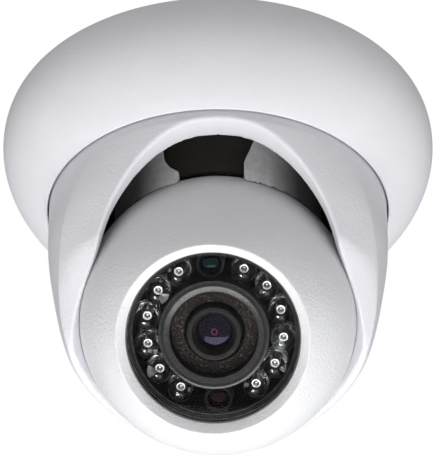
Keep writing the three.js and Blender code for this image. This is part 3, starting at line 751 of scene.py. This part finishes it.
# ---- seat bracket ---------------------------------------------------------------------------
def bracket_distance():
    """Signed distance to the seat bracket: a tube and a plate, hollowed by the ball."""
    notch = [[-6.6, -40], [-6.6, -27.9], [-8.6, -26], [-9.7, -23.9], [-10.8, -15.5],
             [10.6, -15.5], [7.1, -26], [7.1, -40]]
    front = OutlineDistance(notch, (-36, -40), (36, -10))

    def distance(x, y, z):
        r = np.hypot(x, y)
        tube = np.maximum(np.abs(r - TUBE_R) - TUBE_HALF, z + 14)
        plate = np.maximum(np.maximum(r - PLATE_R, PLATE_HOLE_R - r),
                           np.abs(z - PLATE_Z) - PLATE_HALF)
        body = soft_min(tube, plate, 1.0)
        ball = BRACKET_SOCKET_R - np.sqrt(r ** 2 + (z - BALL_Z) ** 2)
        body = soft_max(body, ball, 0.3)
        body = soft_max(body, -np.maximum(front(x, z), y), 0.6)
        rear = np.maximum(np.maximum(np.abs(x) - 9, z + 15.5), -y)
        body = soft_max(body, -rear, 0.6)
        flats = np.maximum(np.abs(np.abs(x) - 30) - 8, np.abs(y) - 9)
        return soft_max(body, -flats, 0.5)

    return distance


def seat_bracket():
    step = 0.5
    points, faces, normals = surface_net(
        bracket_distance(), (-36.5, -36.5, -32), (36.5, 36.5, -12.5), step)
    new_piece("bracket_casting", points, faces, CHEEKS, "turret", ["seat_bracket"],
              place=YAW, normals=normals)


# ---- trim ring and base ---------------------------------------------------------------------
def bezier(p0, p1, p2, p3, steps):
    """Cubic curve from p0 to p3, pulled by p1 and p2."""
    s = np.linspace(0, 1, steps + 1)[:, None]
    p0, p1, p2, p3 = (np.array(p, float) for p in (p0, p1, p2, p3))
    return (1 - s) ** 3 * p0 + 3 * (1 - s) ** 2 * s * p1 + 3 * (1 - s) * s ** 2 * p2 + s ** 3 * p3


def trim_ring():
    """The ring's cover: a bulging outside, the lip round the turret and a stepped inside."""
    belly = (RING_R, RING_BELLY_Z)
    crown = bezier((43.3, 0), (45.4, 0), (RING_R, -3.2), belly, 12)
    sweep = bezier(belly, (RING_R, -12.6), (43.4, -18.6), RING_FOOT, 30)
    outline = smooth(np.vstack([crown, sweep[1:-1]]))
    outline += [[*RING_FOOT, 0.6], [37.3, LIP_Z, 0.4], [LIP_R, LIP_Z + 0.2, 0.2]]
    outline += [[LIP_R, LEDGE_Z], [LEDGE_R, LEDGE_Z], [LEDGE_R, -11.5], [42.1, -10], [42.1, 0]]
    turned("ring_cover", outline, PAINT_RING, "base", ["trim_ring"], radius=0.2, segments=192,
           sharp_deg=40)


# ---- ball -----------------------------------------------------------------------------------
def ball_shells():
    """The painted front and rear of the ball, and a black liner inside the front: painted shade
    where its inside gets no light.
    """
    bezel_z = -math.sqrt(BALL_R ** 2 - BEZEL_R ** 2)
    inner_z = -16.2
    outline = smooth(arc(BALL_R, 8, bezel_z, 60))
    outline[0][2] = 0.2
    outline[-1][2] = 0.5
    outline += [[SEAT_R, -19.95, 0.12], [SEAT_R, SEAT_Z], [OPENING_R, SEAT_Z], [OPENING_R, inner_z]]
    outline += smooth(arc(BALL_INNER_R, inner_z, 8, 40))
    turned("ball_front", outline, PAINT_BALL, "eyeball", ["ball_front_shell"], BALL,
           segments=192, sharp_deg=45)

    # Painted shade: a black sheet darkens the inside of the front shell, which gets no light.
    inner_shade = [[16.85, -16], [16.85, SEAT_Z - 0.02], [16.97, SEAT_Z - 0.02], [16.97, -16.17]]
    inner_shade += smooth(arc(26.95, -16.17, -2, 16) + arc(26.75, -2, -16, 16))
    turned("ball_inner_shade", inner_shade, BLACK, "eyeball", (), BALL, 0, sharp_deg=45)

    neck_foot = math.sqrt(BALL_R ** 2 - NECK_R ** 2)
    neck_bore_z = math.sqrt(BALL_INNER_R ** 2 - NECK_BORE_R ** 2)
    outline = smooth(arc(BALL_R, BALL_SEAM_Z, neck_foot, 40))
    outline[-1][2] = 0.8
    outline += [[NECK_R, NECK_END_Z, 0.3], [NECK_BORE_R, NECK_END_Z, 0.3]]
    outline += smooth(arc(BALL_INNER_R, neck_bore_z, 11.5, 24))
    outline += [[26.2, 9.9], [27.9, 9.9], [27.9, BALL_SEAM_Z]]
    turned("ball_rear", outline, PAINT_BALL, "eyeball", ["ball_rear_shell"], BALL,
           segments=160, sharp_deg=45)


def window_and_hood():
    outline = [[0, -18.1], [WINDOW_R, -18.1], [WINDOW_R, -WINDOW_FRONT, 0.25], [0, -WINDOW_FRONT]]
    turned("window_pane", outline, WINDOW, "eyeball", ["window"], BALL, 0.1, 128, 35)

    outline = [[10.4, -17.5, 0.1], [11, -17.5, 0.1], [11.5, -17.1, 0.3], [11.5, -12.4],
               [10.8, -11.4], [10.8, -5], [9.5, -5], [9.4, -16.9], [10.35, -17.2, 0.05]]
    turned("hood_rubber", outline, HOOD, "eyeball", ["lens_hood"], BALL, 0.2, 128, 15)
    for name, (r0, z0), (r1, z1) in (("hood_lip", (9.2, -17.12), (10.4, -17.5)),
                                     ("hood_edge", (10.95, -17.5), (11.5, -17.3))):
        outline = [[r0, z0], [r1, z1], [r1, z1 + 0.25], [r0, z0 + 0.25]]
        turned(name, outline, LIP, "eyeball", (), BALL, 0.03, 128, 15)


def lens_parts():
    outline = [[6.35, -14.3, 0.15], [9.1, -14.3, 0.3], [9.1, -6.2], [8.4, -6.2], [8.4, -13.3],
               [6.35, -13.3]]
    turned("baffle_disc", outline, BAFFLE, "eyeball", ["lens_baffle"], BALL, 0.1, sharp_deg=50)

    outline = [[4.65, -16.2, 0.1], [5.75, -16.2, 0.35], [6, -3.4], [4.4, -3.4], [4.4, -5.6],
               [3.1, -6.2], [3.1, -12.4], [3.9, -12.6], [3.9, -14.8, 0.2]]
    turned("lens_tube", outline, ANODISED, "eyeball", ["lens_barrel"], BALL, 0.12, sharp_deg=50)

    glass_r, glass_edge_z, dome_r = 3.5, -13.9, 12.0
    dome = np.array(arc(dome_r, -dome_r, -math.sqrt(dome_r ** 2 - glass_r ** 2), 10)[::-1])
    dome += [0, glass_edge_z - dome[0][1]]
    dome[-1][0] = 0
    outline = [[0, -12.9, 0], [glass_r, -12.9, 0.05]] + smooth(dome)
    turned("front_element", outline, LENS, "eyeball", ["lens_front_glass"], BALL, 0.05, 64, 50)

    # Painted reflection: a small magenta ring on the front glass, in place of the coating's
    # reflection.
    outline = [[0.4, -14.2], [0.75, -14.2], [0.75, -14.43], [0.4, -14.43]]
    turned("lens_reflection_ring", outline, LENS_REFLECTION, "eyeball", (), BALL, 0.03, 32)


def lamp_place(index):
    """Six lamps down each side of the lens, each turned differently about its own axis."""
    side = 1 if index < 6 else -1
    step = index if index < 6 else 11 - index
    a = side * math.radians(28.2 + 23.7 * step)
    offset = LAMP_PITCH_R * Vector((math.sin(a), -math.cos(a), 0))
    return BALL @ Matrix.Translation(offset) @ Matrix.Rotation(1.7 * index, 4, "Z")


def domed(radius, z_from, z_to, steps, lift):
    """Outline points of a dome that ends on the axis, moved along it by lift."""
    dome = smooth(np.array(arc(radius, z_from, z_to, steps)) + [0, lift])
    dome[-1][0] = 0
    return dome


def lamps():
    """Clear five millimetre lamps, each with its metal cup, post and wire inside."""
    foot = -BOARD_FRONT - 0.3
    inside_foot = foot - 0.4
    flange = foot - 1
    rim = LAMP_CUP_Z
    body = [[0, foot], [LAMP_FOOT_R, foot, 0.1], [LAMP_FOOT_R, flange, 0.15],
            [LAMP_R, flange, 0.1]] + domed(LAMP_R, 0, -LAMP_R, 16, -14.8)
    cup = [[0, inside_foot], [0.3, inside_foot], [0.3, rim + 1], [0.46, rim + 0.5],
           [0.46, rim, 0.03], [0.33, rim, 0.03], [0.15, rim + 0.5], [0.1, rim + 0.5],
           [0.1, rim + 0.25], [0, rim + 0.25]]
    for index in range(12):
        place = lamp_place(index)
        number = f"{index + 1:02d}"
        turned(f"lamp_{number}", body, EPOXY, "eyeball", [f"ir_led_{number}"], place, 0.05, 48)
        turned(f"lamp_cup_{number}", cup, BRIGHT, "eyeball", (), place, 0.01, 32)
        for part, x, y, r, top in (("post", -0.9, 0, 0.33, rim + 0.9),
                                   ("wire", 0.75, 0.4, 0.16, rim + 0.5)):
            pin = [[0, inside_foot], [r, inside_foot], [r, top], [0, top + 0.2]]
            turned(f"lamp_{part}_{number}", pin, STEEL, "eyeball", (),
                   place @ Matrix.Translation((x, y, 0)), 0.05, 20)


def round_cells():
    """The light sensor above the lens and its twin below: a black bezel with a small dome."""
    bezel = [[0, -9], [2.9, -9], [2.9, -14.75, 0.3], [2.5, -14.75, 0.15], [2.4, -13.2], [0, -13.2]]
    dome = domed(3.6, -2.8, -3.6, 12, -10.85)
    base = [[0, -13.35], [dome[0][0], -13.35]]
    for name, node, y, glass in (("sensor", "light_sensor", -CELL_Y, SENSOR_LENS),
                                 ("port", "lower_port", CELL_Y, PORT_LENS)):
        place = BALL @ Matrix.Translation((0, y, 0))
        turned(f"{name}_bezel", bezel, BLACK, "eyeball", [node], place, 0.1, 48, 50)
        turned(f"{name}_dome", base + dome, glass, "eyeball", (), place, 0.04, 48)


# ---- carried-over CAD nodes -----------------------------------------------------------------
CAD_FINISH = {
    "base_plate": CASTING, "ceiling_gasket": FELT, "lock_screw": STEEL, "friction_ring": FELT,
    "slide_washer": SLIP, "cable_grommet": RUBBER, "lead_cable": JACKET, "lead_connector": SLIP,
    "swivel_sleeve": SLIP, "shell_seal": RUBBER, "window_gasket": RUBBER, "neck_gland": RUBBER,
    # Painted shade: the slot shield is a dark sheet that stands in for the slot's shadow.
    "slot_shield": SLOT_SHADE, "tail_cable": JACKET, "led_board": MASK, "lens_rear_glass": WINDOW,
    "lens_holder": BLACK, "filter_coil": COPPER, "image_sensor": CELL, "sensor_board": BOARD,
    "main_board": BOARD, "filter_frame": BLACK, "day_filter": FILTER, "night_window": WINDOW,
}


def finish_cad_nodes():
    """Gives each CAD node that stays in view its own finish."""
    for name, node in frame["nodes"].items():
        is_fastener = name.startswith(("bracket_screw", "shell_screw", "board_post"))
        finish = STEEL if is_fastener else CAD_FINISH.get(name)
        if finish is not None:
            node.data.materials.clear()
            node.data.materials.append(finish)


# ---- stage, light and camera, in metres -----------------------------------------------------
FLOOR_Z, FLOOR_HALF = -0.8, 30.0
LIGHT_TARGET = Vector((0, 0, -0.04))
CAMERA_DISTANCE = 0.8
CAMERA_LENS = 296.0
CAMERA_AIM = Vector((-0.00032, -0.00363, -0.0301))


def stage():
    """A pale floor below the camera dome, evenly bright where it is seen directly."""
    mesh = bpy.data.meshes.new("floor")
    corners = [(x * FLOOR_HALF, y * FLOOR_HALF, FLOOR_Z)
               for x, y in ((-1, -1), (1, -1), (1, 1), (-1, 1))]
    mesh.from_pydata(corners, [], [(0, 1, 2, 3)])
    n = Nodes("floor_paint")
    n.set(Roughness=0.7)
    paint = n.ramp(n.noise(300, 2), 0.3, 0.7, (0.83, 0.83, 0.83), (0.86, 0.86, 0.86))
    n.link(paint, n.shader.inputs["Base Color"])
    lit = n.add("ShaderNodeEmission")
    n.link(paint, lit.inputs["Color"])
    mix = n.add("ShaderNodeMixShader")
    n.link(n.add("ShaderNodeLightPath").outputs["Is Camera Ray"], mix.inputs["Fac"])
    n.link(n.shader.outputs["BSDF"], mix.inputs[1])
    n.link(lit.outputs["Emission"], mix.inputs[2])
    n.link(mix.outputs["Shader"], n.output.inputs["Surface"])
    mesh.materials.append(n.material)
    floor = bpy.data.objects.new("floor", mesh)
    bpy.context.scene.collection.objects.link(floor)
    floor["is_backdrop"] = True


def world():
    """White to the camera, an even soft fill to matt surfaces, and dim in reflections."""
    made = bpy.data.worlds.new("studio")
    bpy.context.scene.world = made
    made.use_nodes = True
    tree = made.node_tree
    tree.nodes.clear()
    add = tree.nodes.new
    path = add("ShaderNodeLightPath")

    def background(strength):
        node = add("ShaderNodeBackground")
        node.inputs["Color"].default_value = (1, 1, 1, 1)
        node.inputs["Strength"].default_value = strength
        return node.outputs["Background"]

    def choose(ray, if_not, if_so):
        node = add("ShaderNodeMixShader")
        tree.links.new(path.outputs[ray], node.inputs["Fac"])
        tree.links.new(if_not, node.inputs[1])
        tree.links.new(if_so, node.inputs[2])
        return node.outputs["Shader"]

    lit = choose("Is Diffuse Ray", background(0.1), background(0.5))
    seen = choose("Is Camera Ray", lit, background(1.0))
    tree.links.new(seen, add("ShaderNodeOutputWorld").inputs["Surface"])


def area_light(name, position, size, power):
    """A square softbox aimed at the camera dome."""
    data = bpy.data.lights.new(name, "AREA")
    data.shape = "SQUARE"
    data.size = size
    data.energy = power
    light = bpy.data.objects.new(name, data)
    light.location = position
    aim = LIGHT_TARGET - Vector(position)
    light.rotation_euler = aim.to_track_quat("-Z", "Y").to_euler()
    bpy.context.scene.collection.objects.link(light)
    return light


def lights():
    """Soft light from below and both sides, and a small light that only the lamps catch."""
    area_light("under", (0.0, 0.1, -0.7), 0.6, 3.0)
    area_light("fill", (0.0, -0.07, -0.72), 0.5, 2.4).visible_glossy = False
    lamps_only = bpy.data.collections.new("glint_receivers")
    for piece in bpy.context.scene.objects:
        if piece.name.startswith("lamp_"):
            lamps_only.objects.link(piece)
    glint = area_light("glint", (-0.27, -0.1, -0.69), 0.28, 6.0)
    glint.light_linking.receiver_collection = lamps_only
    area_light("left", (-0.7, -0.1, -0.15), 0.4, 0.5)
    area_light("right", (0.7, -0.1, -0.15), 0.4, 0.55)


def camera():
    """Looks up along the mouth's normal."""
    data = bpy.data.cameras.new("camera")
    data.lens = CAMERA_LENS
    data.sensor_width = 36.0
    data.sensor_fit = "AUTO"
    data.clip_start = 0.01
    eye = bpy.data.objects.new("camera", data)
    forward = Vector((0, MOUTH_NORMAL[0], MOUTH_NORMAL[1]))
    eye.location = CAMERA_AIM - CAMERA_DISTANCE * forward
    eye.rotation_euler = forward.to_track_quat("-Z", "Y").to_euler()
    bpy.context.scene.collection.objects.link(eye)
    bpy.context.scene.camera = eye
    bpy.context.scene.view_settings.view_transform = "Standard"


trim_ring()
turret_shell()
seat_bracket()
ball_shells()
window_and_hood()
lens_parts()
lamps()
round_cells()
finish_cad_nodes()
stage()
world()
lights()
camera()

[[list(map(float, v)) for v in box] for box in (cad_box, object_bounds())]
